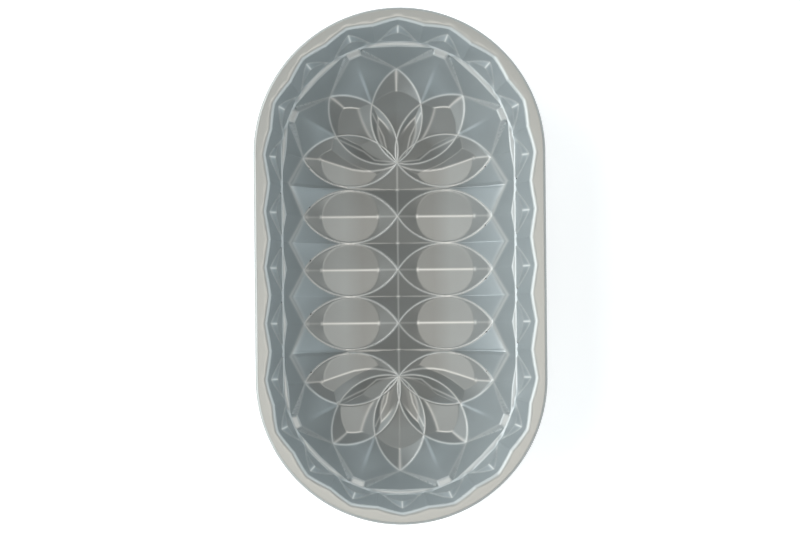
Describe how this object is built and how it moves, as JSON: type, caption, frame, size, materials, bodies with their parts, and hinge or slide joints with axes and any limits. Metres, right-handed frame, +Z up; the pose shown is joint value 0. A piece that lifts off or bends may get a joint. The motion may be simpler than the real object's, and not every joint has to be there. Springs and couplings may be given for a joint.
{
  "type": "fluted loaf pan",
  "caption": "Cast aluminium loaf pan with two round ends, a fluted wall under a zigzag mouth and a petal-patterned floor, with a non-stick coat inside.",
  "frame": {"origin": "centre of the flat base, on the surface that the pan stands on", "axes": "+Y along the pan's length, +Z up out of the open mouth, +X across"},
  "size_m": [0.158, 0.28, 0.059],
  "materials": {
    "cast_aluminium": "as-cast, fine-blasted and satin",
    "nonstick_coat": "semi-gloss silver-grey baked coat"
  },
  "bodies": {
    "root": {"pan_casting": "cast_aluminium", "nonstick_lining": "nonstick_coat"}
  },
  "joints": []
}
